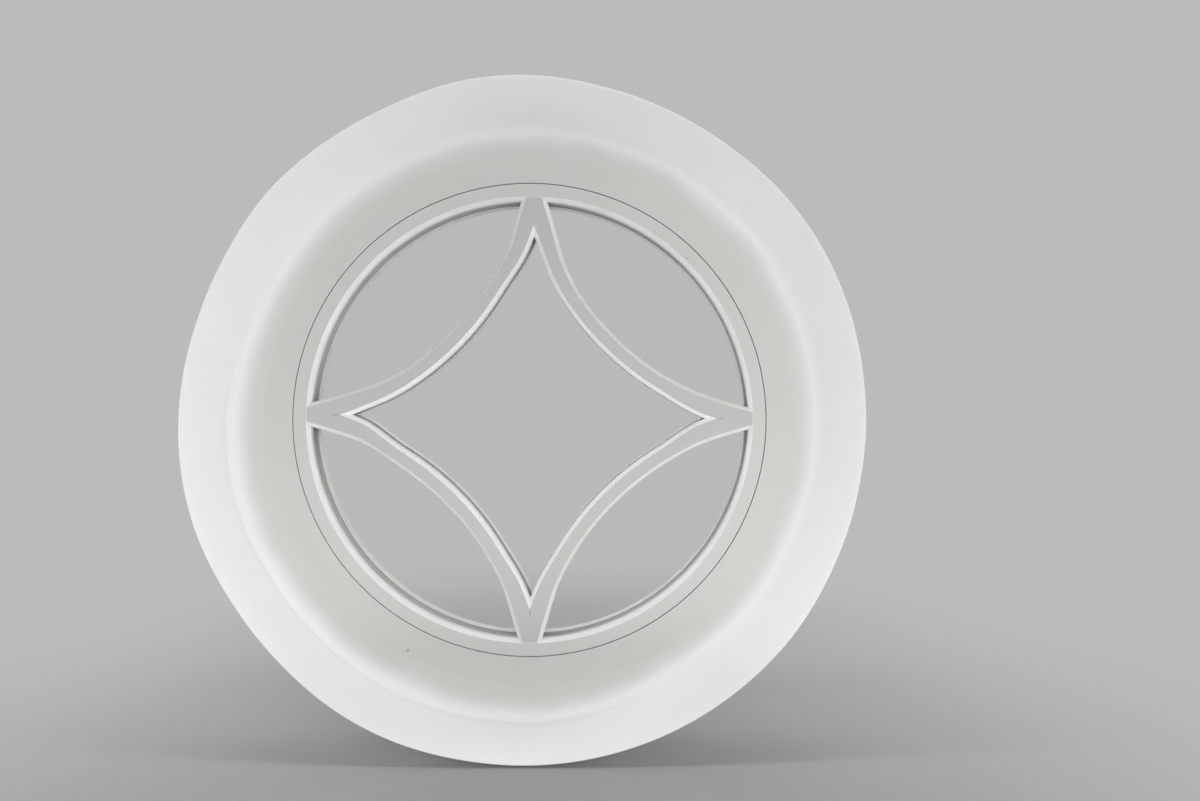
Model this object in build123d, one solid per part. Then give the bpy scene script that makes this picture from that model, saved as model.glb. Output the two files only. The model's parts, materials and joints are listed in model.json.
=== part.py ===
from build123d import *
import math
import os

# Round window with a four-pointed star of curved glazing bars.
# Millimetres. The window's axis is Y: the room is at -Y and the weather at +Y, +Z is up.
# The origin is on that axis, in the plane of the frame's room face.
# Sections are drawn as points of radius and depth, and depths count from the room face.

# Outer frame, a ring of curved wooden segments
frame_radius = 500.0
frame_face_width = 59.8
frame_stop_width = 73.0
frame_depth = 115.0
frame_segment_count = 4

# Sash, a ring of curved wooden segments, flush with the frame
shadow_gap = 1.5
sash_face_width = 24.2
sash_depth = 74.0
sash_segment_count = 4
bevel_width = 6.5
bevel_depth = 8.0

# Glazing rebate and glass unit
glass_shoulder_depth = 20.0
rebate_width = 16.0
glazing_tape_thickness = 2.5
glazing_tape_width = 10.0
glazing_tape_inset = 2.0
glass_edge_clearance = 3.0
pane_thickness = 4.0
cavity_width = 16.0
edge_spacer_inset = 1.5
setting_block_length = 60.0
setting_block_angles = (-120.0, -60.0, 0.0, 60.0, 120.0, 180.0)

# Glazing beads on the weather side, splayed so that rain runs off them
bead_count = 4
bead_splay = 5.0

# Star of glazing bars: each bar is an arc about a corner of the square round the star
star_overrun = 115.5
bar_face_width = 22.0
bar_bevel_width = 6.0
bar_bevel_depth = 8.0
outer_bar_depth = 20.5
spacer_bar_width = 24.0
spacer_bar_clearance = 2.0

# Loose tenons that hold the star's tips in the sash
bar_tenon_width = 10.0
bar_tenon_thickness = 6.0
bar_tenon_length = 40.0
bar_tenon_in_sash = 22.0
bar_tenon_depth = 13.0

# Packers that centre the sash in the frame
packer_count = 8
packer_length = 40.0
packer_width = 26.0
packer_depth = 56.0
packer_clearance = 0.3

# Loose tongues in the joints between segments
frame_tongue_width = 30.0
frame_tongue_thickness = 8.0
frame_tongue_length = 44.0
frame_tongue_depth = 40.0
sash_tongue_width = 12.0
sash_tongue_thickness = 5.0
sash_tongue_length = 32.0
sash_tongue_depth = 12.0

# Holes through the frame for the screws into the wall
fixing_hole_radius = 4.0
fixing_hole_depth = 40.0

# Flared lining from the frame's face to the wall's face: a cove that runs into a straight cone
lining_lap = 8.0
lining_flare = 90.0
lining_depth = 115.0
lining_thickness = 5.5
lining_rim_flat = 2.0
cove_radius = 58.0
cove_start_angle = 4.0

# Radii that follow
frame_inner_radius = frame_radius - frame_face_width
frame_stop_radius = frame_radius - frame_stop_width
sash_radius = frame_inner_radius - shadow_gap
sash_face_radius = sash_radius - sash_face_width
sight_radius = sash_face_radius - bevel_width
rebate_radius = sight_radius + rebate_width
glass_radius = rebate_radius - glass_edge_clearance
edge_spacer_radius = sight_radius + edge_spacer_inset
tape_inner_radius = sight_radius + glazing_tape_inset
tape_outer_radius = tape_inner_radius + glazing_tape_width
lining_radius = frame_radius + lining_flare

# The star's arcs run along the window's axes at their corners, so their radius follows from the corners
star_corner = sight_radius + star_overrun
bar_arc_radius = star_corner

# Depths that follow
inner_pane_front = glass_shoulder_depth + glazing_tape_thickness
cavity_front = inner_pane_front + pane_thickness
outer_pane_front = cavity_front + cavity_width
glass_back = outer_pane_front + pane_thickness
outer_bar_back = glass_back + outer_bar_depth
spacer_bar_front = cavity_front + spacer_bar_clearance
spacer_bar_back = outer_pane_front - spacer_bar_clearance

# Places round the ring, as angles measured up from +X
frame_segment_span = 360.0 / frame_segment_count
sash_segment_span = 360.0 / sash_segment_count
bead_span = 360.0 / bead_count
tip_angles = (0.0, 90.0, 180.0, 270.0)
frame_joint_angles = [frame_segment_span * i for i in range(frame_segment_count)]
fixing_hole_angles = [frame_segment_span * (i + 0.5) for i in range(frame_segment_count)]
sash_joint_angles = [sash_segment_span * (i + 0.5) for i in range(sash_segment_count)]
packer_angles = [360.0 / packer_count * (i + 0.5) for i in range(packer_count)]
bead_joint_angles = [bead_span * i for i in range(bead_count)]

os.makedirs("parts", exist_ok=True)
window_axis = Axis((0, 0, 0), (0, 1, 0))

# How far a cutter runs past what it cuts, in millimetres, and how near a joint it counts, in degrees
past_surface = 5.0
past_joint = 5.0


def save(shape, name):
    export_step(shape, "parts/" + name + ".step")


def at_angle(shape, angle):
    """A shape made at +X, carried round the window's axis."""
    return shape.rotate(window_axis, -angle)


def repeated(shape, angles):
    """Separate copies of a shape made at +X, one for each angle."""
    return Compound([at_angle(shape, angle) for angle in angles])


def section(*points):
    """A closed outline of straight edges, as points of radius and depth."""
    return make_face(Polyline(*points, close=True))


def band(inner, outer, front, back):
    """The rectangular section of a plain ring."""
    return section((inner, front), (outer, front), (outer, back), (inner, back))


def ring(profile):
    return revolve(profile, window_axis, 360)


def ring_arc(profile, start, span):
    """The part of a ring from one angle through a span."""
    return revolve(at_angle(profile, start + span), window_axis, span)


def disc(radius, front, back):
    return extrude(Plane((0, front, 0), z_dir=(0, 1, 0)) * Circle(radius), back - front)


def radial_rod(radius, inner, outer, depth):
    """A round rod along +X from one radius to another, at a depth."""
    rod = Cylinder(radius, outer - inner, align=(Align.CENTER, Align.CENTER, Align.MIN))
    return Pos(inner, depth, 0) * Rot(0, 90, 0) * rod


def segment_of(profile, start, span, cuts):
    """A ring's segment less each cutter's copies that lie on the segment or across its joints."""
    segment = ring_arc(profile, start, span)
    for cutter, angles in cuts:
        for angle in angles:
            if (angle - start + past_joint) % 360 <= span + 2 * past_joint:
                segment -= at_angle(cutter, angle)
    return segment


# Loose tongues: each fills a slot cut half in one segment and half in the next
frame_tongue = Box(frame_tongue_width, frame_tongue_thickness, frame_tongue_length)
frame_tongue = Pos((frame_inner_radius + frame_radius) / 2, frame_tongue_depth, 0) * frame_tongue
sash_tongue = Box(sash_tongue_width, sash_tongue_thickness, sash_tongue_length)
sash_tongue = Pos((sight_radius + sash_radius) / 2, sash_tongue_depth, 0) * sash_tongue
save(repeated(frame_tongue, frame_joint_angles), "frame_tongues")
save(repeated(sash_tongue, sash_joint_angles), "sash_tongues")

# Outer frame: a rebated section, with the stop for the sash on the weather side
frame_section = section(
    (frame_inner_radius, 0),
    (frame_radius, 0),
    (frame_radius, frame_depth),
    (frame_stop_radius, frame_depth),
    (frame_stop_radius, sash_depth),
    (frame_inner_radius, sash_depth),
)
fixing_hole = radial_rod(fixing_hole_radius, frame_inner_radius - past_surface,
                         frame_radius + past_surface, fixing_hole_depth)
frame_cuts = (
    (frame_tongue, frame_joint_angles),
    (fixing_hole, fixing_hole_angles),
)
for i, start in enumerate(frame_joint_angles):
    save(segment_of(frame_section, start, frame_segment_span, frame_cuts), f"frame_segment_{i + 1}")

# Loose tenons at the star's tips, partly in the bars and partly in the sash
tenon_outer = sight_radius + bar_tenon_in_sash
bar_tenon = Box(bar_tenon_length, bar_tenon_thickness, bar_tenon_width,
                align=(Align.MAX, Align.CENTER, Align.CENTER))
bar_tenon = Pos(tenon_outer, bar_tenon_depth, 0) * bar_tenon
save(repeated(bar_tenon, tip_angles), "bar_tenons")

# Sash: a bevelled section with its glazing rebate open to the weather side
sash_section = section(
    (sash_face_radius, 0),
    (sash_radius, 0),
    (sash_radius, sash_depth),
    (rebate_radius, sash_depth),
    (rebate_radius, glass_shoulder_depth),
    (sight_radius, glass_shoulder_depth),
    (sight_radius, bevel_depth),
)
sash_cuts = (
    (sash_tongue, sash_joint_angles),
    (bar_tenon, tip_angles),
)
for i, start in enumerate(sash_joint_angles):
    save(segment_of(sash_section, start, sash_segment_span, sash_cuts), f"sash_segment_{i + 1}")

# Packers in the shadow gap, out of sight behind the sash's face
packer_span = math.degrees(packer_length / sash_radius)
packer_band = band(sash_radius, frame_inner_radius - packer_clearance,
                   packer_depth - packer_width / 2, packer_depth + packer_width / 2)
packer = ring_arc(packer_band, -packer_span / 2, packer_span)
save(repeated(packer, packer_angles), "sash_packers")

# Glass unit and what it is bedded on
save(disc(glass_radius, inner_pane_front, cavity_front), "inner_pane")
save(disc(glass_radius, outer_pane_front, glass_back), "outer_pane")
save(ring(band(edge_spacer_radius, glass_radius, cavity_front, outer_pane_front)), "edge_spacer")
save(ring(band(tape_inner_radius, tape_outer_radius, glass_shoulder_depth, inner_pane_front)),
     "glazing_tape")

block_span = math.degrees(setting_block_length / rebate_radius)
setting_block = ring_arc(band(glass_radius, rebate_radius, inner_pane_front, glass_back),
                         -block_span / 2, block_span)
save(repeated(setting_block, setting_block_angles), "setting_blocks")

# Glazing beads
bead_section = section(
    (sight_radius, glass_back),
    (rebate_radius, glass_back),
    (rebate_radius, sash_depth),
    (sight_radius, sash_depth - bead_splay),
)
for i, start in enumerate(bead_joint_angles):
    save(ring_arc(bead_section, start, bead_span), f"glazing_bead_{i + 1}")

# Star of glazing bars
star_places = ("upper_right", "upper_left", "lower_left", "lower_right")
quadrant = Pos(frame_radius / 2, 0, frame_radius / 2) * Box(frame_radius, 2 * frame_radius, frame_radius)


def quarter_bar(limit, *points):
    """The upper right bar: a section of offset from the face's outer edge and depth, turned about the
    star's corner, mitred on the window's axes and trimmed to a limit."""
    outline = [(star_corner + bar_arc_radius + offset, depth) for offset, depth in points]
    turned = revolve(Pos(0, 0, star_corner) * section(*outline),
                     Axis((star_corner, 0, star_corner), (0, 1, 0)), 360)
    return turned & quadrant & limit


def star(bar):
    return [at_angle(bar, angle) for angle in tip_angles]


def save_star(bar, name):
    for place, copy in zip(star_places, star(bar)):
        save(copy, name + "_" + place)


# Room-side bars: bevelled on both edges, scribed over the sash's bevel
sash_hollow = ring(section(
    (0, 0), (sash_face_radius, 0), (sight_radius, bevel_depth), (sight_radius, inner_pane_front),
    (0, inner_pane_front),
))
inner_bar = quarter_bar(
    sash_hollow,
    (0, 0),
    (bar_face_width, 0),
    (bar_face_width + bar_bevel_width, bar_bevel_depth),
    (bar_face_width + bar_bevel_width, inner_pane_front),
    (-bar_bevel_width, inner_pane_front),
    (-bar_bevel_width, bar_bevel_depth),
)
for angle in tip_angles[:2]:
    inner_bar -= at_angle(bar_tenon, angle)
save_star(inner_bar, "inner_bar")

# Weather-side bars: square in section, butted against the beads
outer_bar = quarter_bar(
    disc(sight_radius, glass_back, outer_bar_back),
    (-bar_bevel_width, glass_back),
    (bar_face_width + bar_bevel_width, glass_back),
    (bar_face_width + bar_bevel_width, outer_bar_back),
    (-bar_bevel_width, outer_bar_back),
)
save_star(outer_bar, "outer_bar")

# Spacer bars inside the glass unit, clear of both panes, from edge spacer to edge spacer
spacer_near = (bar_face_width - spacer_bar_width) / 2
spacer_far = spacer_near + spacer_bar_width
spacer_bar = quarter_bar(
    disc(edge_spacer_radius, spacer_bar_front, spacer_bar_back),
    (spacer_near, spacer_bar_front),
    (spacer_far, spacer_bar_front),
    (spacer_far, spacer_bar_back),
    (spacer_near, spacer_bar_back),
)
save_star(spacer_bar, "spacer_bar")

# Flared lining: the cove leaves the frame's face at its start angle and turns until it points at the rim
lining_foot_radius = frame_radius - lining_lap
rim_radius = lining_radius - lining_rim_flat
cove_start = math.radians(cove_start_angle)
cove_centre = (lining_foot_radius - cove_radius * math.sin(cove_start), -cove_radius * math.cos(cove_start))
rim_across = rim_radius - cove_centre[0]
rim_along = -lining_depth - cove_centre[1]
cove_end = math.atan2(rim_across, rim_along) - math.acos(cove_radius / math.hypot(rim_across, rim_along))


def cove_point(radius, angle):
    return (cove_centre[0] + radius * math.sin(angle), cove_centre[1] + radius * math.cos(angle))


foot = cove_point(cove_radius, cove_start)
cone_start = cove_point(cove_radius, cove_end)
back_radius = cove_radius + lining_thickness
back_start = math.acos(-cove_centre[1] / back_radius)
back_foot = cove_point(back_radius, back_start)
back_knee = cove_point(back_radius, (back_start + cove_end) / 2)
back_cone_start = cove_point(back_radius, cove_end)
rim_back = (lining_radius,
            back_cone_start[1] - (lining_radius - back_cone_start[0]) * math.tan(cove_end))
cove_line = ThreePointArc(foot, cove_point(cove_radius, (cove_start + cove_end) / 2), cone_start)
other_lines = Polyline(cone_start, (rim_radius, -lining_depth), (lining_radius, -lining_depth),
                       rim_back, back_cone_start, back_knee, back_foot, foot)
save(ring(make_face([cove_line, other_lines])), "reveal_lining")
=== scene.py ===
import json
import math
import bpy
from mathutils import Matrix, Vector

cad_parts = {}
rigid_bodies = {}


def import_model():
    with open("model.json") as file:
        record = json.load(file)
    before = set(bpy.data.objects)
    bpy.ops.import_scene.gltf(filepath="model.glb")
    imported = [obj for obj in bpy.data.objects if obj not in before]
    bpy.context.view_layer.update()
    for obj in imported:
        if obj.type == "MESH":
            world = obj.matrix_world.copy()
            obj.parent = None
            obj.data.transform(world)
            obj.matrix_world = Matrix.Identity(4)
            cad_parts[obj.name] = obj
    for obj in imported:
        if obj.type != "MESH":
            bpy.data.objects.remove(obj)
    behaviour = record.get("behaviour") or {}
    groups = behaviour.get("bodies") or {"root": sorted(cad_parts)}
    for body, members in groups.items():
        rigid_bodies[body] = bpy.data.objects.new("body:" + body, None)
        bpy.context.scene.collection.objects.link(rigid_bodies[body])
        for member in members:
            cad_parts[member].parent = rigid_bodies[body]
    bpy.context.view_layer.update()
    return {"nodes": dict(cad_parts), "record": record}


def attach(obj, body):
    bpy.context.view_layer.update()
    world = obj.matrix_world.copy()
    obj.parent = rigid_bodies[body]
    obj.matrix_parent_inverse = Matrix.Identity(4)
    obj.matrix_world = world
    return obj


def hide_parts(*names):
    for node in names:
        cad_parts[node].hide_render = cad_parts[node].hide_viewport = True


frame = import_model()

# Round window with a four-pointed star of curved glazing bars, seen from the room.
# Metres, in the frame of the CAD model: the room is at -Y, the weather at +Y, Z is up.

nodes = frame["nodes"]
print("CAD nodes loaded:", len(nodes))


# Camera, square to the window and a little to its right
cameraSetup = {"place": (0.131, -1.485, 0.036), "lens": 24.0, "sensor": 36.0}

cameraData = bpy.data.cameras.new("roomCamera")
cameraData.lens = cameraSetup["lens"]
cameraData.sensor_width = cameraSetup["sensor"]
cameraData.sensor_fit = "HORIZONTAL"
roomCamera = bpy.data.objects.new("roomCamera", cameraData)
roomCamera.location = cameraSetup["place"]
roomCamera.rotation_euler = (math.radians(90), 0, 0)
bpy.context.scene.collection.objects.link(roomCamera)
bpy.context.scene.camera = roomCamera
print("camera placed")


# Helpers for modelling
def startClean():
    if bpy.context.object and bpy.context.object.mode != "OBJECT":
        bpy.ops.object.mode_set(mode="OBJECT")
    bpy.ops.object.select_all(action="DESELECT")


def makeActive(piece):
    startClean()
    piece.select_set(True)
    bpy.context.view_layer.objects.active = piece


def selectFaces(piece, test):
    # picks the faces whose corners all pass the test, for the next edit-mode operator
    makeActive(piece)
    bpy.ops.object.mode_set(mode="EDIT")
    bpy.ops.mesh.select_mode(type="FACE")
    bpy.ops.mesh.select_all(action="DESELECT")
    bpy.ops.object.mode_set(mode="OBJECT")
    corners = piece.data.vertices
    for face in piece.data.polygons:
        face.select = all(test(corners[i].co) for i in face.vertices)
    bpy.ops.object.mode_set(mode="EDIT")


def applyModifier(piece, kind, **settings):
    makeActive(piece)
    modifier = piece.modifiers.new(kind.title(), kind)
    for key, value in settings.items():
        setattr(modifier, key, value)
    bpy.ops.object.modifier_apply(modifier=modifier.name)


def giveFinish(piece, material):
    piece.data.materials.clear()
    piece.data.materials.append(material)


def finishNode(name, material):
    for place in nodes[name].material_slots:
        place.material = material


def addPiece(piece, slotName, material, *stoodFor):
    giveFinish(piece, material)
    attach(piece, "root")
    if stoodFor:
        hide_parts(*stoodFor)


merging = {
    "onJoint": 2e-6,        # how near the joint's plane a corner counts as on it
    "weld": 2e-5,           # corners nearer than this are made one
    "flatAngle": 0.3,       # degrees under which neighbouring faces are made one
    "arrisSteps": 3, "arrisAngle": 28, "smoothAngle": 38, "faceWeight": 60,
}


def onJoint(angles):
    # true for points on the flat cuts through the window's axis at these angles
    normals = [(-math.sin(math.radians(a)), math.cos(math.radians(a))) for a in angles]
    return lambda p: any(abs(p.x * nx + p.z * nz) < merging["onJoint"] for nx, nz in normals)


def eased(value):
    # runs softly from 0 to 1 as value does
    value = min(max(value, 0.0), 1.0)
    return value * value * (3 - 2 * value)


def shapeTips(piece, shape):
    # sets each tip of a star a little to one side, draws its notch in and broadens its end
    for corner in piece.data.vertices:
        radius = math.hypot(corner.co.x, corner.co.z)
        angle = math.degrees(math.atan2(corner.co.z, corner.co.x))
        for tipAngle, side, pull, wider in shape["tips"]:
            turn = (angle - tipAngle + 180) % 360 - 180
            if abs(turn) > 45:              # belongs to a neighbouring tip
                continue
            sideStart, sideEnd = shape["sideOver"]
            pullStart, pullFull, pullEase, pullEnd = shape["pullOver"]
            broadStart, broadEnd = shape["broadOver"]
            broader = 1 + wider * eased((radius - broadStart) / (broadEnd - broadStart))
            aside = side / 1000 / radius * eased((radius - sideStart) / (sideEnd - sideStart))
            drawn = eased((radius - pullStart) / (pullFull - pullStart))
            drawn *= 1 - eased((radius - pullEase) / (pullEnd - pullEase))
            toCorner = math.hypot(abs(corner.co.x) - shape["corner"], abs(corner.co.z) - shape["corner"])
            drawn *= eased((toCorner - shape["corner"]) / shape["faceWidth"])
            turned = math.radians(tipAngle) + math.radians(turn) * broader + aside
            reach = radius - pull / 1000 * drawn
            corner.co.x = reach * math.cos(turned)
            corner.co.z = reach * math.sin(turned)
            break


def paintedTogether(pieceName, nodeNames, jointAngles, arris, tipShape=None):
    # segments under one coat of paint: their joints close up, their tips are shaped and their arrises eased
    startClean()
    for name in nodeNames:
        nodes[name].select_set(True)
    bpy.context.view_layer.objects.active = nodes[nodeNames[0]]
    bpy.ops.object.duplicate()
    bpy.ops.object.parent_clear(type="CLEAR_KEEP_TRANSFORM")
    bpy.ops.object.join()
    piece = bpy.context.object
    piece.name = pieceName
    piece.data.name = pieceName
    for key in list(piece.keys()):
        del piece[key]
    bpy.ops.mesh.customdata_custom_splitnormals_clear()
    selectFaces(piece, onJoint(jointAngles))
    bpy.ops.mesh.delete(type="FACE")
    bpy.ops.mesh.select_all(action="SELECT")
    bpy.ops.mesh.remove_doubles(threshold=merging["weld"])
    bpy.ops.mesh.dissolve_limited(angle_limit=math.radians(merging["flatAngle"]))
    bpy.ops.mesh.normals_make_consistent(inside=False)
    bpy.ops.object.mode_set(mode="OBJECT")
    if tipShape:
        shapeTips(piece, tipShape)
    applyModifier(piece, "BEVEL", width=arris, segments=merging["arrisSteps"], limit_method="ANGLE",
                  angle_limit=math.radians(merging["arrisAngle"]), use_clamp_overlap=True, profile=0.5)
    makeActive(piece)
    bpy.ops.object.shade_smooth_by_angle(angle=math.radians(merging["smoothAngle"]))
    applyModifier(piece, "WEIGHTED_NORMAL", keep_sharp=True, weight=merging["faceWeight"])
    return piece


# Materials
def newMaterial(name):
    material = bpy.data.materials.new(name)
    material.use_nodes = True
    tree = material.node_tree
    tree.nodes.clear()
    return material, tree


def addNode(tree, kind, **settings):
    node = tree.nodes.new(kind)
    for key, value in settings.items():
        setattr(node, key, value)
    return node


def setInputs(node, **values):
    for key, value in values.items():
        node.inputs[key.replace("_", " ")].default_value = value


def mathNode(tree, operation, first, second=None, clamp=False):
    node = addNode(tree, "ShaderNodeMath", operation=operation, use_clamp=clamp)
    for i, value in enumerate((first, second)):
        if value is None:
            continue
        if isinstance(value, (int, float)):
            node.inputs[i].default_value = value
        else:
            tree.links.new(value, node.inputs[i])
    return node.outputs[0]


def linear(red, green, blue):
    # a colour as a screen shows it, 0 to 255, as shader values
    def one(level):
        level = level / 255
        return level / 12.92 if level <= 0.04045 else ((level + 0.055) / 1.055) ** 2.4
    return (one(red), one(green), one(blue), 1.0)


def newGroup(name, inputs, outputs):
    group = bpy.data.node_groups.new(name, "ShaderNodeTree")
    for socketName, kind, value in inputs:
        socket = group.interface.new_socket(socketName, in_out="INPUT", socket_type=kind)
        if value is not None:
            socket.default_value = value
    for socketName, kind in outputs:
        group.interface.new_socket(socketName, in_out="OUTPUT", socket_type=kind)
    return group, group.nodes.new("NodeGroupInput"), group.nodes.new("NodeGroupOutput")


brushwork = {
    "lengthAlong": 7.0,     # how often a brush mark starts and ends on its way round
    "pooledScale": 9.0, "fineScale": 420.0,
    "pooledFrom": 0.42, "pooledTo": 0.75,
    "glossFrom": 0.36, "glossTo": 0.52,
    "markHeight": 0.6, "fineHeight": 0.25, "pooledHeight": 1.2,
}


def brushedPaintGroup():
    # brush marks that run round a centre, and the slight unevenness of white paint
    group, source, result = newGroup(
        "brushedPaint",
        (("Vector", "NodeSocketVector", None), ("Paint", "NodeSocketColor", (0.6, 0.6, 0.6, 1)),
         ("Aged Paint", "NodeSocketColor", (0.5, 0.5, 0.5, 1)), ("Ageing", "NodeSocketFloat", 0.3),
         ("Marks Per Metre", "NodeSocketFloat", 500.0)),
        (("Colour", "NodeSocketColor"), ("Roughness", "NodeSocketFloat"), ("Height", "NodeSocketFloat")))
    links = group.links
    split = addNode(group, "ShaderNodeSeparateXYZ")
    links.new(source.outputs["Vector"], split.inputs[0])
    flat = addNode(group, "ShaderNodeCombineXYZ")
    links.new(split.outputs["X"], flat.inputs["X"])
    links.new(split.outputs["Z"], flat.inputs["Y"])
    length = addNode(group, "ShaderNodeVectorMath", operation="LENGTH")
    links.new(flat.outputs[0], length.inputs[0])
    direction = addNode(group, "ShaderNodeVectorMath", operation="NORMALIZE")
    links.new(flat.outputs[0], direction.inputs[0])
    parts = addNode(group, "ShaderNodeSeparateXYZ")
    links.new(direction.outputs[0], parts.inputs[0])
    across = mathNode(group, "ADD", length.outputs["Value"], split.outputs["Y"])
    across = mathNode(group, "MULTIPLY", across, source.outputs["Marks Per Metre"])
    along = addNode(group, "ShaderNodeCombineXYZ")
    links.new(mathNode(group, "MULTIPLY", parts.outputs["X"], brushwork["lengthAlong"]), along.inputs["X"])
    links.new(mathNode(group, "MULTIPLY", parts.outputs["Y"], brushwork["lengthAlong"]), along.inputs["Y"])
    links.new(across, along.inputs["Z"])
    marks = addNode(group, "ShaderNodeTexNoise")
    setInputs(marks, Scale=1.0, Detail=3.0, Roughness=0.6)
    links.new(along.outputs[0], marks.inputs["Vector"])
    pooled = addNode(group, "ShaderNodeTexNoise")
    setInputs(pooled, Scale=brushwork["pooledScale"], Detail=4.0, Roughness=0.55)
    links.new(source.outputs["Vector"], pooled.inputs["Vector"])
    fine = addNode(group, "ShaderNodeTexNoise")
    setInputs(fine, Scale=brushwork["fineScale"], Detail=2.0, Roughness=0.5)
    links.new(source.outputs["Vector"], fine.inputs["Vector"])
    patch = addNode(group, "ShaderNodeMapRange")
    setInputs(patch, From_Min=brushwork["pooledFrom"], From_Max=brushwork["pooledTo"])
    links.new(pooled.outputs["Fac"], patch.inputs["Value"])
    aged = mathNode(group, "MULTIPLY", patch.outputs[0], source.outputs["Ageing"], clamp=True)
    tone = addNode(group, "ShaderNodeMix", data_type="RGBA")
    links.new(aged, tone.inputs["Factor"])
    links.new(source.outputs["Paint"], tone.inputs["A"])
    links.new(source.outputs["Aged Paint"], tone.inputs["B"])
    links.new(tone.outputs["Result"], result.inputs["Colour"])
    gloss = addNode(group, "ShaderNodeMapRange")
    setInputs(gloss, From_Min=0.3, From_Max=0.7, To_Min=brushwork["glossFrom"], To_Max=brushwork["glossTo"])
    links.new(marks.outputs["Fac"], gloss.inputs["Value"])
    links.new(gloss.outputs[0], result.inputs["Roughness"])
    height = mathNode(group, "MULTIPLY", marks.outputs["Fac"], brushwork["markHeight"])
    for texture, share in ((fine, brushwork["fineHeight"]), (pooled, brushwork["pooledHeight"])):
        height = mathNode(group, "ADD", height, mathNode(group, "MULTIPLY", texture.outputs["Fac"], share))
    links.new(height, result.inputs["Height"])
    return group


markEdge = {"scale": 380.0, "raggedness": 0.9}


def markGroup():
    # one small mark at a place, longer one way than the other, with a broken edge
    group, source, result = newGroup(
        "smallMark",
        (("Vector", "NodeSocketVector", None), ("Place", "NodeSocketVector", (0, 0, 0)),
         ("Size", "NodeSocketVector", (0.003, 0.02, 0.003)), ("Softness", "NodeSocketFloat", 0.5)),
        (("Mask", "NodeSocketFloat"),))
    links = group.links
    away = addNode(group, "ShaderNodeVectorMath", operation="SUBTRACT")
    links.new(source.outputs["Vector"], away.inputs[0])
    links.new(source.outputs["Place"], away.inputs[1])
    scaled = addNode(group, "ShaderNodeVectorMath", operation="DIVIDE")
    links.new(away.outputs[0], scaled.inputs[0])
    links.new(source.outputs["Size"], scaled.inputs[1])
    reach = addNode(group, "ShaderNodeVectorMath", operation="LENGTH")
    links.new(scaled.outputs[0], reach.inputs[0])
    ragged = addNode(group, "ShaderNodeTexNoise")
    setInputs(ragged, Scale=markEdge["scale"], Detail=2.0)
    links.new(source.outputs["Vector"], ragged.inputs["Vector"])
    wobble = mathNode(group, "SUBTRACT", ragged.outputs["Fac"], 0.5)
    wobble = mathNode(group, "MULTIPLY", wobble, markEdge["raggedness"])
    edge = mathNode(group, "ADD", reach.outputs["Value"], wobble)
    fade = mathNode(group, "DIVIDE", mathNode(group, "SUBTRACT", 1.0, edge), source.outputs["Softness"], clamp=True)
    links.new(fade, result.inputs["Mask"])
    return group


groups = {"paint": brushedPaintGroup(), "mark": markGroup()}


coatRelief = 0.00006            # metres from the bottom of a brush mark to its top
faceTurn = (0.9, 0.995)         # how squarely a surface faces the room, from the sides' painted light to the face paint


def paintedWood(name, paint, paintedLightSides, aged, ageing, perMetre, centre, mirrored=False, marks=()):
    # sides of mouldings and edges: painted light, a lighter tone where they turn from the room; aged, ageing: the
    # tone of pooled patches and how much of it
    # perMetre, centre: how close the brush marks lie and what they run round; mirrored folds them into a quarter
    # marks: small dark places, each with place, size, softness, colour and strength
    material, tree = newMaterial(name)
    links = tree.links
    place = addNode(tree, "ShaderNodeTexCoord")
    position = place.outputs["Object"]
    vector = position
    if mirrored:
        fold = addNode(tree, "ShaderNodeVectorMath", operation="ABSOLUTE")
        links.new(position, fold.inputs[0])
        vector = fold.outputs[0]
    shift = addNode(tree, "ShaderNodeMapping")
    shift.inputs["Location"].default_value = tuple(-c for c in centre)
    links.new(vector, shift.inputs["Vector"])
    coat = addNode(tree, "ShaderNodeGroup", node_tree=groups["paint"])
    facing = addNode(tree, "ShaderNodeSeparateXYZ")
    links.new(place.outputs["Normal"], facing.inputs[0])
    # painted light: surfaces that turn from the room get a lighter tone, as if lit through the glass
    flat = addNode(tree, "ShaderNodeMapRange")
    setInputs(flat, From_Min=faceTurn[0], From_Max=faceTurn[1])
    links.new(mathNode(tree, "ABSOLUTE", facing.outputs["Y"]), flat.inputs["Value"])
    sideLightMix = addNode(tree, "ShaderNodeMix", data_type="RGBA")
    links.new(flat.outputs[0], sideLightMix.inputs["Factor"])
    sideLightMix.inputs["A"].default_value = paintedLightSides
    sideLightMix.inputs["B"].default_value = paint
    links.new(sideLightMix.outputs["Result"], coat.inputs["Paint"])
    coat.inputs["Aged Paint"].default_value = aged
    coat.inputs["Ageing"].default_value = ageing
    coat.inputs["Marks Per Metre"].default_value = perMetre
    links.new(shift.outputs[0], coat.inputs["Vector"])
    colour = coat.outputs["Colour"]
    for mark in marks:
        spot = addNode(tree, "ShaderNodeGroup", node_tree=groups["mark"])
        spot.inputs["Place"].default_value = mark["place"]
        spot.inputs["Size"].default_value = mark["size"]
        spot.inputs["Softness"].default_value = mark["softness"]
        links.new(position, spot.inputs["Vector"])
        strength = mathNode(tree, "MULTIPLY", spot.outputs["Mask"], mark["strength"])
        blend = addNode(tree, "ShaderNodeMix", data_type="RGBA")
        links.new(strength, blend.inputs["Factor"])
        links.new(colour, blend.inputs["A"])
        blend.inputs["B"].default_value = mark["colour"]
        colour = blend.outputs["Result"]
    bump = addNode(tree, "ShaderNodeBump")
    setInputs(bump, Strength=1.0, Distance=coatRelief)
    links.new(coat.outputs["Height"], bump.inputs["Height"])
    shader = addNode(tree, "ShaderNodeBsdfPrincipled")
    links.new(colour, shader.inputs["Base Color"])
    links.new(coat.outputs["Roughness"], shader.inputs["Roughness"])
    links.new(bump.outputs[0], shader.inputs["Normal"])
    output = addNode(tree, "ShaderNodeOutputMaterial")
    links.new(shader.outputs[0], output.inputs["Surface"])
    return material


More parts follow.
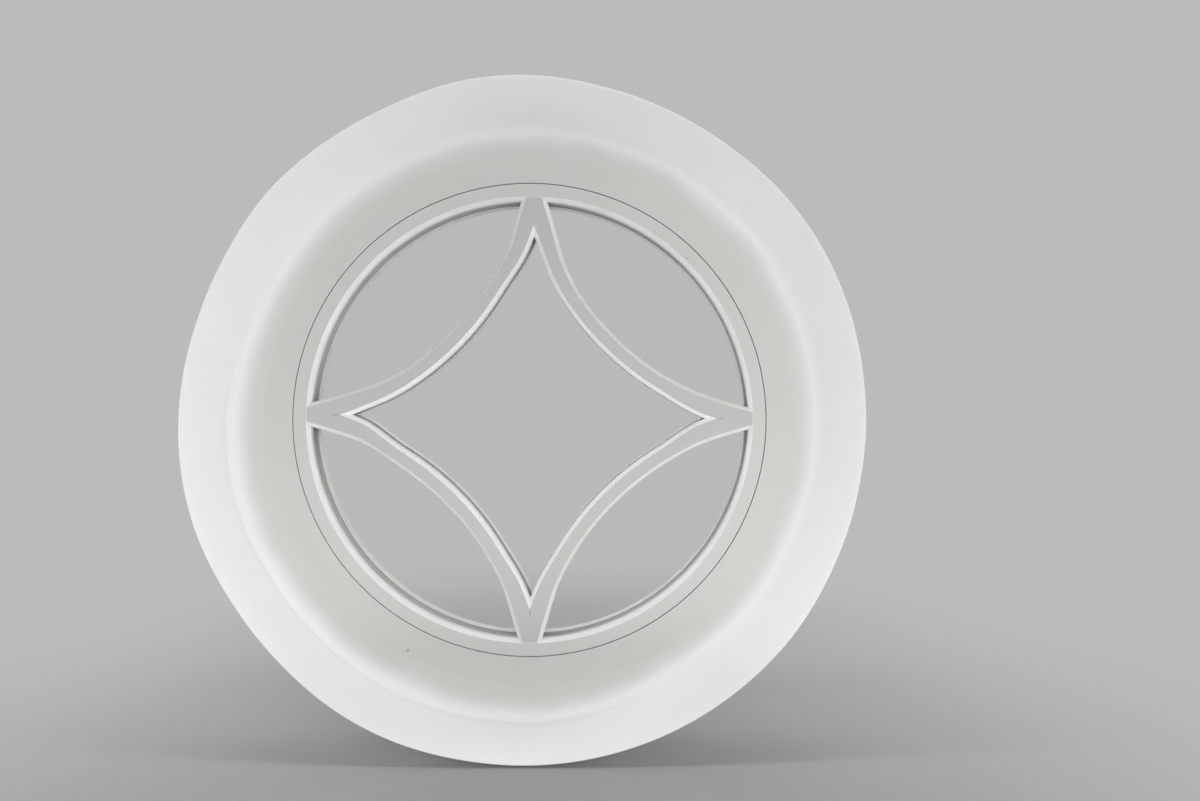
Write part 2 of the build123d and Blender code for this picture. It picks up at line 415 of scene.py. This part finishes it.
plasterWork = {
    "waveScale": 7.0, "stippleScale": 520.0, "toneScale": 3.5, "waveRelief": 0.0022, "stippleRelief": 0.00012,
    "paintWander": 0.012,   # metres that the edge of the foot's paint and its painted shade wanders up and down the cove
}


def rolledPlaster(name, paint, aged, footPaintAndShade, footEnd, paintStart):
    # filled by hand and painted with a roller: long soft waves under a fine stipple
    # the frame's darker paint is carried over the foot as painted shade where the cove meets the frame, and gives
    # way to the lining's from footEnd to paintStart up the cove
    material, tree = newMaterial(name)
    links = tree.links
    place = addNode(tree, "ShaderNodeTexCoord")
    waves = addNode(tree, "ShaderNodeTexNoise")
    setInputs(waves, Scale=plasterWork["waveScale"], Detail=2.0, Roughness=0.45)
    stipple = addNode(tree, "ShaderNodeTexNoise")
    setInputs(stipple, Scale=plasterWork["stippleScale"], Detail=2.0, Roughness=0.6)
    tone = addNode(tree, "ShaderNodeTexNoise")
    setInputs(tone, Scale=plasterWork["toneScale"], Detail=4.0, Roughness=0.55)
    for texture in (waves, stipple, tone):
        links.new(place.outputs["Object"], texture.inputs["Vector"])
    patch = addNode(tree, "ShaderNodeMapRange")
    setInputs(patch, From_Min=0.35, From_Max=0.7, To_Min=0.0, To_Max=0.5)
    links.new(tone.outputs["Fac"], patch.inputs["Value"])
    blend = addNode(tree, "ShaderNodeMix", data_type="RGBA")
    links.new(patch.outputs[0], blend.inputs["Factor"])
    blend.inputs["A"].default_value = paint
    blend.inputs["B"].default_value = aged
    split = addNode(tree, "ShaderNodeSeparateXYZ")
    links.new(place.outputs["Object"], split.inputs[0])
    wander = mathNode(tree, "SUBTRACT", waves.outputs["Fac"], 0.5)
    wander = mathNode(tree, "MULTIPLY", wander, plasterWork["paintWander"])
    height = mathNode(tree, "SUBTRACT", wander, split.outputs["Y"])
    # painted shade: the cove's foot keeps the frame's darker tone up to footEnd, then ramps to the lining's
    footShadeRamp = addNode(tree, "ShaderNodeMapRange", interpolation_type="SMOOTHSTEP")
    setInputs(footShadeRamp, From_Min=footEnd, From_Max=paintStart)
    links.new(height, footShadeRamp.inputs["Value"])
    coat = addNode(tree, "ShaderNodeMix", data_type="RGBA")
    links.new(footShadeRamp.outputs[0], coat.inputs["Factor"])
    coat.inputs["A"].default_value = footPaintAndShade
    links.new(blend.outputs["Result"], coat.inputs["B"])
    rough = addNode(tree, "ShaderNodeMapRange")
    setInputs(rough, From_Min=0.3, From_Max=0.7, To_Min=0.58, To_Max=0.74)
    links.new(stipple.outputs["Fac"], rough.inputs["Value"])
    fine = addNode(tree, "ShaderNodeBump")
    setInputs(fine, Strength=1.0, Distance=plasterWork["stippleRelief"])
    links.new(stipple.outputs["Fac"], fine.inputs["Height"])
    broad = addNode(tree, "ShaderNodeBump")
    setInputs(broad, Strength=1.0, Distance=plasterWork["waveRelief"])
    links.new(waves.outputs["Fac"], broad.inputs["Height"])
    links.new(fine.outputs[0], broad.inputs["Normal"])
    shader = addNode(tree, "ShaderNodeBsdfPrincipled")
    links.new(coat.outputs["Result"], shader.inputs["Base Color"])
    links.new(rough.outputs[0], shader.inputs["Roughness"])
    links.new(broad.outputs[0], shader.inputs["Normal"])
    output = addNode(tree, "ShaderNodeOutputMaterial")
    links.new(shader.outputs[0], output.inputs["Surface"])
    return material


glassWork = {
    "tint": (0.99, 0.995, 0.993, 1), "shadowTint": (0.955, 0.96, 0.958, 1), "refraction": 1.5,
    "dustFrom": 0.37, "dustTo": 0.41, "dustScale": 60.0, "dustRoughness": 0.12,
    "swayScale": 5.0, "swayRelief": 0.0002,
}


def clearGlass(name):
    # clear float glass with a thin film of dust towards its edge
    material, tree = newMaterial(name)
    links = tree.links
    place = addNode(tree, "ShaderNodeTexCoord")
    split = addNode(tree, "ShaderNodeSeparateXYZ")
    links.new(place.outputs["Object"], split.inputs[0])
    flat = addNode(tree, "ShaderNodeCombineXYZ")
    links.new(split.outputs["X"], flat.inputs["X"])
    links.new(split.outputs["Z"], flat.inputs["Y"])
    radius = addNode(tree, "ShaderNodeVectorMath", operation="LENGTH")
    links.new(flat.outputs[0], radius.inputs[0])
    dust = addNode(tree, "ShaderNodeTexNoise")
    setInputs(dust, Scale=glassWork["dustScale"], Detail=5.0, Roughness=0.65)
    links.new(place.outputs["Object"], dust.inputs["Vector"])
    edge = addNode(tree, "ShaderNodeMapRange")
    setInputs(edge, From_Min=glassWork["dustFrom"], From_Max=glassWork["dustTo"])
    links.new(radius.outputs["Value"], edge.inputs["Value"])
    film = mathNode(tree, "MULTIPLY", edge.outputs[0], dust.outputs["Fac"])
    rough = mathNode(tree, "MULTIPLY", film, glassWork["dustRoughness"])
    sway = addNode(tree, "ShaderNodeTexNoise")
    setInputs(sway, Scale=glassWork["swayScale"], Detail=1.0)
    links.new(place.outputs["Object"], sway.inputs["Vector"])
    bump = addNode(tree, "ShaderNodeBump")
    setInputs(bump, Strength=1.0, Distance=glassWork["swayRelief"])
    links.new(sway.outputs["Fac"], bump.inputs["Height"])
    shader = addNode(tree, "ShaderNodeBsdfPrincipled")
    shader.inputs["Base Color"].default_value = glassWork["tint"]
    shader.inputs["Metallic"].default_value = 0.0
    shader.inputs["IOR"].default_value = glassWork["refraction"]
    shader.inputs["Transmission Weight"].default_value = 1.0
    links.new(rough, shader.inputs["Roughness"])
    links.new(bump.outputs[0], shader.inputs["Normal"])
    through = addNode(tree, "ShaderNodeBsdfTransparent")
    through.inputs["Color"].default_value = glassWork["shadowTint"]
    path = addNode(tree, "ShaderNodeLightPath")
    both = addNode(tree, "ShaderNodeMixShader")
    links.new(path.outputs["Is Shadow Ray"], both.inputs["Fac"])
    links.new(shader.outputs[0], both.inputs[1])
    links.new(through.outputs[0], both.inputs[2])
    output = addNode(tree, "ShaderNodeOutputMaterial")
    links.new(both.outputs[0], output.inputs["Surface"])
    return material


grainFiner, glossSpread = 14, 0.08          # the grain against the clouds, and the gloss either way


def plainStuff(name, light, dark, scale, rough, relief):
    # tape, plastics and spacers: two tones, a fine grain and a varied gloss
    material, tree = newMaterial(name)
    links = tree.links
    place = addNode(tree, "ShaderNodeTexCoord")
    cloud = addNode(tree, "ShaderNodeTexNoise")
    setInputs(cloud, Scale=scale, Detail=4.0, Roughness=0.6)
    grain = addNode(tree, "ShaderNodeTexNoise")
    setInputs(grain, Scale=scale * grainFiner, Detail=2.0)
    for texture in (cloud, grain):
        links.new(place.outputs["Object"], texture.inputs["Vector"])
    blend = addNode(tree, "ShaderNodeMix", data_type="RGBA")
    links.new(cloud.outputs["Fac"], blend.inputs["Factor"])
    blend.inputs["A"].default_value = light
    blend.inputs["B"].default_value = dark
    gloss = addNode(tree, "ShaderNodeMapRange")
    setInputs(gloss, From_Min=0.3, From_Max=0.7, To_Min=rough - glossSpread, To_Max=rough + glossSpread)
    links.new(grain.outputs["Fac"], gloss.inputs["Value"])
    bump = addNode(tree, "ShaderNodeBump")
    setInputs(bump, Strength=1.0, Distance=relief)
    links.new(grain.outputs["Fac"], bump.inputs["Height"])
    shader = addNode(tree, "ShaderNodeBsdfPrincipled")
    links.new(blend.outputs["Result"], shader.inputs["Base Color"])
    links.new(gloss.outputs[0], shader.inputs["Roughness"])
    links.new(bump.outputs[0], shader.inputs["Normal"])
    output = addNode(tree, "ShaderNodeOutputMaterial")
    links.new(shader.outputs[0], output.inputs["Surface"])
    return material


woodWork = {
    "dark": linear(176, 136, 92), "light": linear(222, 190, 146), "darkTo": 0.35, "lightFrom": 0.68,
    "across": 260.0, "along": 18.0, "relief": 0.0002,
}


def bareWood(name):
    # long fine grain, seen only inside the joints
    material, tree = newMaterial(name)
    links = tree.links
    place = addNode(tree, "ShaderNodeTexCoord")
    stretch = addNode(tree, "ShaderNodeMapping")
    stretch.inputs["Scale"].default_value = (woodWork["across"], woodWork["across"], woodWork["along"])
    links.new(place.outputs["Object"], stretch.inputs["Vector"])
    grain = addNode(tree, "ShaderNodeTexNoise")
    setInputs(grain, Scale=1.0, Detail=5.0, Roughness=0.65)
    links.new(stretch.outputs[0], grain.inputs["Vector"])
    ramp = addNode(tree, "ShaderNodeValToRGB")
    ends = ramp.color_ramp.elements
    ends[0].position, ends[0].color = woodWork["darkTo"], woodWork["dark"]
    ends[1].position, ends[1].color = woodWork["lightFrom"], woodWork["light"]
    links.new(grain.outputs["Fac"], ramp.inputs["Fac"])
    rough = addNode(tree, "ShaderNodeMapRange")
    setInputs(rough, From_Min=0.3, From_Max=0.7, To_Min=0.62, To_Max=0.8)
    links.new(grain.outputs["Fac"], rough.inputs["Value"])
    bump = addNode(tree, "ShaderNodeBump")
    setInputs(bump, Strength=1.0, Distance=woodWork["relief"])
    links.new(grain.outputs["Fac"], bump.inputs["Height"])
    shader = addNode(tree, "ShaderNodeBsdfPrincipled")
    links.new(ramp.outputs["Color"], shader.inputs["Base Color"])
    links.new(rough.outputs[0], shader.inputs["Roughness"])
    links.new(bump.outputs[0], shader.inputs["Normal"])
    output = addNode(tree, "ShaderNodeOutputMaterial")
    links.new(shader.outputs[0], output.inputs["Surface"])
    return material


paintShades = {
    "frame": linear(200, 200, 197),
    "sash": linear(200, 200, 197),
    "bars": linear(187, 188, 185),
    # painted light: the sides of bars, beads and sash are lighter than their faces, for the light that falls on them
    # through the glass
    "paintedLightSides": linear(236, 236, 234),
    "paintedLightSashSides": linear(226, 226, 224),
    "aged": linear(197, 197, 190),
    # painted shade in the notches at the star's tips, over a hairline crack
    "notchCrackAndShade": linear(120, 118, 110),
    "nail": linear(112, 108, 100),
    "lining": linear(225, 225, 224),
    "liningAged": linear(221, 221, 218),
}

# painted shade: a dark mark in the notch at each star tip, a hairline crack darkened further as the notch's shade
tipCracksAndShade = []
for x, z, size, strength in ((-0.3600, 0.0092, (0.0100, 0.03, 0.0014), 0.75),
                             (0.3540, 0.0024, (0.0095, 0.03, 0.0014), 0.65),
                             (0.0010, -0.3590, (0.0014, 0.03, 0.0100), 0.65),
                             (0.0085, 0.3630, (0.0012, 0.03, 0.0085), 0.3)):
    tipCracksAndShade.append({"place": (x, 0.0, z), "size": size, "softness": 0.7,
                     "colour": paintShades["notchCrackAndShade"], "strength": strength})
sashMarks = [{"place": (0.2917, 0.0, 0.3001), "size": (0.0035, 0.01, 0.0022), "softness": 0.8,
              "colour": paintShades["nail"], "strength": 0.6}]
frameMarks = [{"place": (-0.2254, 0.0, -0.4281), "size": (0.0035, 0.01, 0.0045), "softness": 0.8,
               "colour": paintShades["nail"], "strength": 0.6}]

finishes = {
    "frame": paintedWood("framePaint", paintShades["frame"], paintShades["frame"], paintShades["aged"], 0.3, 520.0,
                         (0, 0, 0), marks=frameMarks),
    "sash": paintedWood("sashPaint", paintShades["sash"], paintShades["paintedLightSashSides"], paintShades["aged"], 0.3, 620.0,
                        (0, 0, 0), marks=sashMarks),
    "bars": paintedWood("barPaint", paintShades["bars"], paintShades["paintedLightSides"], paintShades["aged"], 0.3, 700.0,
                        (0.5235, 0, 0.5235), mirrored=True, marks=tipCracksAndShade),
    "beads": paintedWood("beadPaint", paintShades["sash"], paintShades["paintedLightSides"], paintShades["aged"], 0.5, 620.0,
                         (0, 0, 0)),
    "lining": rolledPlaster("liningPlaster", paintShades["lining"], paintShades["liningAged"],
                            paintShades["frame"], 0.0, 0.018),
    "glass": clearGlass("paneGlass"),
    "edgeSpacer": plainStuff("edgeSpacerFoam", linear(196, 195, 190), linear(186, 185, 180), 30.0, 0.6, 0.00003),
    "spacerBar": plainStuff("spacerBarPaint", linear(216, 216, 214), linear(209, 209, 206), 30.0, 0.45, 0.00002),
    "tape": plainStuff("glazingTapeFoam", linear(146, 140, 130), linear(122, 116, 107), 90.0, 0.75, 0.0001),
    "packer": plainStuff("packerPlastic", linear(70, 92, 138), linear(60, 82, 126), 60.0, 0.5, 0.00004),
    "block": plainStuff("blockPlastic", linear(62, 62, 62), linear(52, 52, 52), 60.0, 0.55, 0.00004),
    "wood": bareWood("bareWood"),
}
print("materials made:", len(finishes))


# Finishes of the CAD nodes
nodeFinishes = {
    "frame_paint": "frame", "sash_paint": "sash", "bar_paint": "bars", "bead_paint": "beads",
    "bare_wood": "wood", "packer_plastic": "packer", "block_plastic": "block", "glass": "glass",
    "edge_spacer": "edgeSpacer", "spacer_bar": "spacerBar", "glazing_tape": "tape", "lining_plaster": "lining",
}
for part in frame["record"]["subparts"]:
    finishNode(part["node"], finishes[nodeFinishes[part["material_slot"]]])
print("CAD nodes finished")


# Frame, sash and stars under one coat of paint each
quarters = (0, 90)
diagonals = (45, 135)
starPlaces = ("upper_right", "upper_left", "lower_left", "lower_right")
starTips = {
    # each tip's angle, how far it sits to one side, anticlockwise, and how far its notch is drawn in,
    # both in mm, and by what share its end is broader
    "tips": ((0, 2.5, 23.0, 0.08), (90, -8.5, 7.0, 0.27), (180, -10.0, 17.5, 0.18), (270, 0.5, 17.5, 0.2)),
    # the bars' arcs run round this corner, and only their inner edges are drawn in
    "corner": 0.5235, "faceWidth": 0.022,
    # radii over which these come in, and where the drawing in fades out again
    "sideOver": (0.235, 0.33), "pullOver": (0.24, 0.365, 0.370, 0.408), "broadOver": (0.30, 0.40),
}
painted = (
    ("frameRing", [f"frame_segment_{i}" for i in range(1, 5)], quarters, 0.0012, "frame_paint", "frame", None),
    ("sashRing", [f"sash_segment_{i}" for i in range(1, 5)], diagonals, 0.0010, "sash_paint", "sash", None),
    ("roomStar", ["inner_bar_" + place for place in starPlaces], quarters, 0.0009, "bar_paint", "bars", starTips),
    ("spacerStar", ["spacer_bar_" + place for place in starPlaces], quarters, 0.0004, "spacer_bar", "spacerBar",
     starTips),
    ("weatherStar", ["outer_bar_" + place for place in starPlaces], quarters, 0.0009, "bar_paint", "bars", starTips),
)
for pieceName, members, joints, arris, slotName, finish, tipShape in painted:
    ringPiece = paintedTogether(pieceName, members, joints, arris, tipShape)
    addPiece(ringPiece, slotName, finishes[finish], *members)
    print(pieceName, "faces", len(ringPiece.data.polygons))


# Panes: ground edges, and a hair clear of what they are bedded on
panes = {
    "radius": 0.4207, "thickness": 0.0036, "arris": 0.0004, "divisions": 240,
    "arrisAngle": 40, "smoothAngle": 15,    # the faces stay truly flat, or they would bend what is seen through
    "middles": {"innerGlass": (0.0245, "inner_pane"), "outerGlass": (0.0445, "outer_pane")},
}


def groundPane(name, depth, shape):
    startClean()
    bpy.ops.mesh.primitive_cylinder_add(vertices=shape["divisions"], radius=shape["radius"],
                                        depth=shape["thickness"], end_fill_type="NGON",
                                        location=(0, depth, 0), rotation=(math.radians(90), 0, 0))
    piece = bpy.context.object
    piece.name = name
    piece.data.name = name
    bpy.ops.object.transform_apply(location=True, rotation=True, scale=True)
    applyModifier(piece, "BEVEL", width=shape["arris"], segments=2, limit_method="ANGLE",
                  angle_limit=math.radians(shape["arrisAngle"]))
    makeActive(piece)
    bpy.ops.object.shade_smooth_by_angle(angle=math.radians(shape["smoothAngle"]))
    return piece


for paneName, (depth, replaced) in panes["middles"].items():
    addPiece(groundPane(paneName, depth, panes), "glass", finishes["glass"], replaced)
print("panes placed")


# Flared lining: one shell, drawn out of a circle loop by loop, with a hand-made rim
lining = {
    "foot": 0.492, "rim": 0.590, "depth": 0.115, "thickness": 0.0055, "rimRound": 0.002,
    "coveRadius": 0.058, "coveStart": 4.0, "coveSteps": 24, "coneSteps": 8, "divisions": 288,
    "backSteps": 6, "smoothAngle": 50,
    # the rim's rounding: where it starts before the rim, then points past and behind the rim's edge
    "rimStart": 0.0012, "rimPoints": ((-0.0016, 0.0), (-0.0006, 0.0001), (0.0, 0.0008)),
    # how far the rim strays, in mm, at angles counted up from +X
    "strays": ((0, -3.0), (35, 2.4), (60, -1.4), (95, 4.2), (119, -2.6), (156, -4.6), (193, 3.6),
               (217, -1.6), (243, 2.8), (300, 0.4), (340, -3.6)),
    "strayReach": 0.19, "strayDepth": 0.012, "strayWidth": 3,
    # where the cove lies further out: angles, how far in mm, and the loops it eases over at the foot and the rim
    "push": {"start": 152, "end": 303, "ease": 34, "size": 15.0, "ripple": 0.7, "waves": 27,
             "footLoops": 6, "rimLoops": 10},
}


def liningOutline(shape):
    # points of radius and depth, from the foot up the cove and the cone to the rim, and back down behind them
    start = math.radians(shape["coveStart"])
    centre = Vector((shape["foot"] - shape["coveRadius"] * math.sin(start), -shape["coveRadius"] * math.cos(start)))
    rim = Vector((shape["rim"] - shape["rimRound"], -shape["depth"]))
    gap = rim - centre
    end = math.atan2(gap.x, gap.y) - math.acos(shape["coveRadius"] / gap.length)

    def onCove(radius, angle):
        return centre + radius * Vector((math.sin(angle), math.cos(angle)))

    points = [onCove(shape["coveRadius"], start + (end - start) * i / shape["coveSteps"])
              for i in range(shape["coveSteps"] + 1)]
    coneStart = points[-1].copy()
    for i in range(1, shape["coneSteps"]):
        points.append(coneStart.lerp(rim, i / shape["coneSteps"]))
    cone = (rim - coneStart).normalized()
    points.append(rim - cone * shape["rimStart"])
    points += [Vector((shape["rim"] + out, -shape["depth"] + behind)) for out, behind in shape["rimPoints"]]
    back = shape["coveRadius"] + shape["thickness"]
    backStart = math.acos(-centre.y / back)
    backCone = onCove(back, end)
    points.append(Vector((shape["rim"], backCone.y - (shape["rim"] - backCone.x) * math.tan(end))))
    steps = shape["backSteps"]
    points += [onCove(back, backStart + (end - backStart) * i / steps) for i in range(steps, -1, -1)]
    return points


def liningShell(shape):
    startClean()
    outline = liningOutline(shape)
    bpy.ops.mesh.primitive_circle_add(vertices=shape["divisions"], radius=outline[0].x,
                                      location=(0, outline[0].y, 0), rotation=(math.radians(90), 0, 0))
    piece = bpy.context.object
    piece.name = "reveal"
    piece.data.name = "reveal"
    bpy.ops.object.transform_apply(location=True, rotation=True, scale=True)
    bpy.ops.object.mode_set(mode="EDIT")
    bpy.ops.mesh.select_mode(type="EDGE")
    bpy.ops.mesh.select_all(action="SELECT")
    for before, after in zip(outline, outline[1:]):
        bpy.ops.mesh.extrude_edges_move(TRANSFORM_OT_translate={"value": (0, after.y - before.y, 0)})
        ratio = after.x / before.x
        bpy.ops.transform.resize(value=(ratio, 1, ratio), center_override=(0, after.y, 0))
    bpy.ops.mesh.select_all(action="SELECT")
    bpy.ops.mesh.remove_doubles(threshold=1e-5)
    bpy.ops.object.mode_set(mode="OBJECT")
    return piece


def strayRim(piece, shape):
    # pulls the rim in and out at the listed places, with a soft fall-off
    for angle, stray in shape["strays"]:
        outward = Vector((math.cos(math.radians(angle)), 0, math.sin(math.radians(angle))))
        makeActive(piece)
        bpy.ops.object.mode_set(mode="EDIT")
        bpy.ops.mesh.select_mode(type="VERT")
        bpy.ops.mesh.select_all(action="DESELECT")
        bpy.ops.object.mode_set(mode="OBJECT")
        for corner in piece.data.vertices:
            flat = Vector((corner.co.x, 0, corner.co.z))
            corner.select = (corner.co.y < -shape["depth"] + shape["strayDepth"]
                             and flat.normalized().dot(outward) > math.cos(math.radians(shape["strayWidth"])))
        bpy.ops.object.mode_set(mode="EDIT")
        bpy.ops.transform.translate(value=outward * stray / 1000, use_proportional_edit=True,
                                    proportional_edit_falloff="SMOOTH", proportional_size=shape["strayReach"])
        bpy.ops.object.mode_set(mode="OBJECT")


def pushCove(piece, shape):
    # moves the cove outwards, front and back alike, while its foot on the frame and the rim stay in place
    push = shape["push"]
    rim = shape["coveSteps"] + shape["coneSteps"]
    back = rim + 1 + len(shape["rimPoints"])
    for corner in piece.data.vertices:
        loop = corner.index // shape["divisions"]
        if loop < rim:
            share = eased(loop / push["footLoops"]) * eased((rim - loop) / push["rimLoops"])
        else:
            share = 1.0 if loop > back else 0.0
        angle = math.degrees(math.atan2(corner.co.z, corner.co.x)) % 360
        inward = eased(min(angle - push["start"], push["end"] - angle) / push["ease"])
        size = push["size"] + push["ripple"] * math.sin(math.radians(angle * push["waves"]))
        radius = math.hypot(corner.co.x, corner.co.z)
        grown = 1 + share * inward * size / 1000 / radius
        corner.co.x *= grown
        corner.co.z *= grown


reveal = liningShell(lining)
pushCove(reveal, lining)
strayRim(reveal, lining)
makeActive(reveal)
bpy.ops.object.mode_set(mode="EDIT")
bpy.ops.mesh.select_all(action="SELECT")
bpy.ops.mesh.normals_make_consistent(inside=False)
bpy.ops.object.mode_set(mode="OBJECT")
bpy.ops.object.shade_smooth_by_angle(angle=math.radians(lining["smoothAngle"]))
addPiece(reveal, "lining_plaster", finishes["lining"], "reveal_lining")
print("lining faces", len(reveal.data.polygons))


# Floor, backdrop and lights
studio = {
    "backdrop": linear(186, 187, 187), "floor": linear(156, 157, 157), "floorSize": 14.0, "fill": 0.30,
    "floorGap": 0.0045,                     # from the lowest point of a true rim down to the floor
    "fadeFrom": 0.6, "fadeTo": 1.7,         # metres from the middle over which the floor turns into the backdrop
    "floorGrain": 60.0, "floorGloss": (0.75, 0.9), "floorShine": 0.1,
    # soft lamps: place, width, height, power, whether glossy surfaces mirror them, and what they point at
    "lamps": {
        "front": ((0.9, -3.4, 0.7), 2.6, 2.2, 59.0, False, (0, 0, 0)),
        "lowFront": ((0.0, -1.3, -0.45), 1.6, 0.25, 2.8, False, (0, 0, -0.45)),
        "above": ((0.0, -0.5, 2.7), 2.6, 0.3, 23.0, True, (0, 0, 0)),
        "right": ((2.7, -0.5, 0.2), 0.3, 1.2, 16.0, True, (0, 0, 0)),
        "left": ((-2.7, -0.5, 0.2), 0.3, 1.2, 21.5, True, (0, 0, 0)),
        "under": ((0.0, -0.42, -0.5), 1.8, 0.3, 3.2, False, (0, -0.6, 0.6)),
        "backHigh": ((0.0, 1.1, 1.7), 2.6, 1.2, 13.0, True, (0, 0, 0)),
        "backRight": ((1.7, 1.1, 0.35), 1.2, 1.6, 13.0, True, (0, 0, 0)),
        "backLeft": ((-1.7, 1.1, 0.35), 1.2, 1.6, 13.0, True, (0, 0, 0)),
        "behind": ((-1.4, 3.4, 1.8), 2.4, 2.0, 20.0, False, (0, 0, 0)),
    },
}


def floorMaterial(shape):
    # catches the window's shadow and runs into the backdrop further out
    material, tree = newMaterial("floorPaint")
    links = tree.links
    place = addNode(tree, "ShaderNodeTexCoord")
    reach = addNode(tree, "ShaderNodeVectorMath", operation="LENGTH")
    links.new(place.outputs["Object"], reach.inputs[0])
    far = addNode(tree, "ShaderNodeMapRange", interpolation_type="SMOOTHSTEP")
    setInputs(far, From_Min=shape["fadeFrom"], From_Max=shape["fadeTo"])
    links.new(reach.outputs["Value"], far.inputs["Value"])
    path = addNode(tree, "ShaderNodeLightPath")
    seen = mathNode(tree, "MAXIMUM", path.outputs["Is Camera Ray"], path.outputs["Is Glossy Ray"])
    seen = mathNode(tree, "MAXIMUM", seen, path.outputs["Is Transmission Ray"])
    fade = mathNode(tree, "MULTIPLY", far.outputs[0], seen)
    grain = addNode(tree, "ShaderNodeTexNoise")
    setInputs(grain, Scale=shape["floorGrain"], Detail=3.0)
    links.new(place.outputs["Object"], grain.inputs["Vector"])
    rough = addNode(tree, "ShaderNodeMapRange")
    setInputs(rough, To_Min=shape["floorGloss"][0], To_Max=shape["floorGloss"][1])
    links.new(grain.outputs["Fac"], rough.inputs["Value"])
    shader = addNode(tree, "ShaderNodeBsdfPrincipled")
    shader.inputs["Base Color"].default_value = shape["floor"]
    shader.inputs["Specular IOR Level"].default_value = shape["floorShine"]
    links.new(rough.outputs[0], shader.inputs["Roughness"])
    plain = addNode(tree, "ShaderNodeEmission")
    plain.inputs["Color"].default_value = shape["backdrop"]
    both = addNode(tree, "ShaderNodeMixShader")
    links.new(fade, both.inputs["Fac"])
    links.new(shader.outputs[0], both.inputs[1])
    links.new(plain.outputs[0], both.inputs[2])
    output = addNode(tree, "ShaderNodeOutputMaterial")
    links.new(both.outputs[0], output.inputs["Surface"])
    return material


startClean()
bpy.ops.mesh.primitive_plane_add(size=studio["floorSize"],
                                 location=(0, 0, -lining["rim"] - studio["floorGap"]))
floor = bpy.context.object
floor.name = "floor"
giveFinish(floor, floorMaterial(studio))

world = bpy.data.worlds.new("studioWorld")
bpy.context.scene.world = world
world.use_nodes = True
worldTree = world.node_tree
worldTree.nodes.clear()
worldPath = addNode(worldTree, "ShaderNodeLightPath")
looked = mathNode(worldTree, "MAXIMUM", worldPath.outputs["Is Camera Ray"], worldPath.outputs["Is Glossy Ray"])
looked = mathNode(worldTree, "MAXIMUM", looked, worldPath.outputs["Is Transmission Ray"])
fillLight = addNode(worldTree, "ShaderNodeBackground")
setInputs(fillLight, Color=(1, 1, 1, 1), Strength=studio["fill"])
backdrop = addNode(worldTree, "ShaderNodeBackground")
setInputs(backdrop, Color=studio["backdrop"], Strength=1.0)
worldMix = addNode(worldTree, "ShaderNodeMixShader")
worldTree.links.new(looked, worldMix.inputs["Fac"])
worldTree.links.new(fillLight.outputs[0], worldMix.inputs[1])
worldTree.links.new(backdrop.outputs[0], worldMix.inputs[2])
worldOutput = addNode(worldTree, "ShaderNodeOutputWorld")
worldTree.links.new(worldMix.outputs[0], worldOutput.inputs["Surface"])


def softLamp(name, place, width, height, power, mirrored, aim):
    lampData = bpy.data.lights.new(name, "AREA")
    lampData.shape = "RECTANGLE"
    lampData.size, lampData.size_y = width, height
    lampData.energy = power
    lamp = bpy.data.objects.new(name, lampData)
    lamp.location = place
    lamp.rotation_euler = (Vector(aim) - Vector(place)).to_track_quat("-Z", "Y").to_euler()
    lamp.visible_camera = False
    lamp.visible_transmission = False
    lamp.visible_glossy = mirrored
    bpy.context.scene.collection.objects.link(lamp)


for lampName, settings in studio["lamps"].items():
    softLamp(lampName + "Lamp", *settings)
bpy.context.scene.view_settings.view_transform = "Standard"
print("floor and lights placed")
